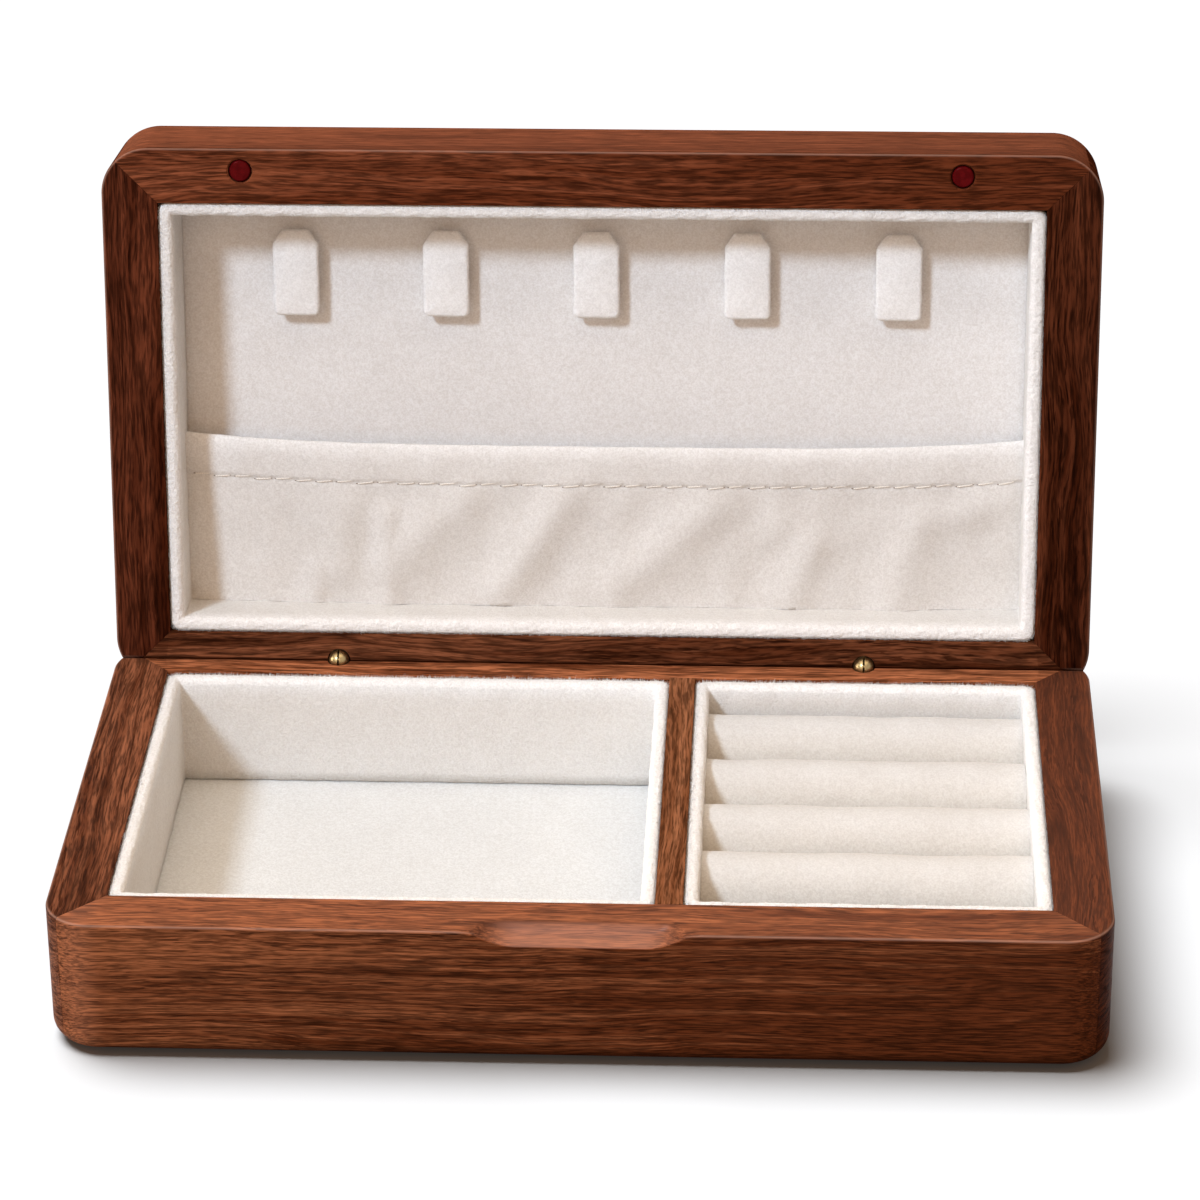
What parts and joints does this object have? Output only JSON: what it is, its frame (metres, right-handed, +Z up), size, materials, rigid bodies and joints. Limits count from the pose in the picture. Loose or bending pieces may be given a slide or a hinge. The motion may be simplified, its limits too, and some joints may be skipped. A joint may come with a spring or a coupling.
{
  "type": "jewelry box",
  "caption": "Low hinged wooden box with mitred frames, lined trays, padded ring rolls, and hooks and a pocket inside its lid.",
  "frame": {"origin": "middle of the underside of the felt sheet, where the base stands", "axes": "+X along the hinge side to the ring tray's end, +Y from the finger notch to the hinges, +Z up from the table"},
  "size_m": [0.25, 0.1849, 0.1684],
  "materials": {
    "walnut": "satin oiled reddish walnut",
    "birch_ply": "bare plywood",
    "brown_felt": "pressed felt",
    "cream_velvet": "short-pile velvet",
    "brass": "polished",
    "nickel": "plated",
    "wine_red_enamel": "glossy enamel",
    "mother_of_pearl": "polished shell tiles"
  },
  "bodies": {
    "base": {"base_front_rail": "walnut", "base_back_rail": "walnut", "base_left_rail": "walnut", "base_right_rail": "walnut", "base_divider": "walnut", "base_bottom_panel": "birch_ply", "base_felt_sheet": "brown_felt", "left_tray_front_wall": "cream_velvet", "left_tray_back_wall": "cream_velvet", "left_tray_left_wall": "cream_velvet", "left_tray_right_wall": "cream_velvet", "left_tray_floor_pad": "cream_velvet", "ring_tray_front_wall": "cream_velvet", "ring_tray_back_wall": "cream_velvet", "ring_tray_left_wall": "cream_velvet", "ring_tray_right_wall": "cream_velvet", "ring_tray_floor_board": "cream_velvet", "ring_roll_1": "cream_velvet", "ring_roll_2": "cream_velvet", "ring_roll_3": "cream_velvet", "ring_roll_4": "cream_velvet", "base_magnet_left": "nickel", "base_magnet_right": "nickel", "hinge_base_barrel_left": "brass", "hinge_base_barrel_right": "brass", "hinge_pin_left": "brass", "hinge_pin_right": "brass"},
    "lid": {"lid_front_rail": "walnut", "lid_back_rail": "walnut", "lid_left_rail": "walnut", "lid_right_rail": "walnut", "lid_top_panel": "walnut", "lid_pearl_panel": "mother_of_pearl", "lid_backing_pad": "cream_velvet", "lid_front_wall": "cream_velvet", "lid_back_wall": "cream_velvet", "lid_left_wall": "cream_velvet", "lid_right_wall": "cream_velvet", "necklace_hook_1": "cream_velvet", "necklace_hook_2": "cream_velvet", "necklace_hook_3": "cream_velvet", "necklace_hook_4": "cream_velvet", "necklace_hook_5": "cream_velvet", "lid_pocket": "cream_velvet", "lid_magnet_left": "wine_red_enamel", "lid_magnet_right": "wine_red_enamel", "hinge_lid_barrel_left": "brass", "hinge_lid_barrel_right": "brass"}
  },
  "joints": [
    {"name": "lid_hinge", "type": "hinge", "parent": "base", "child": "lid", "pos_m": [0, 0.0635, 0.03615], "axis": [1, 0, 0], "range_deg": [0, 99]}
  ]
}
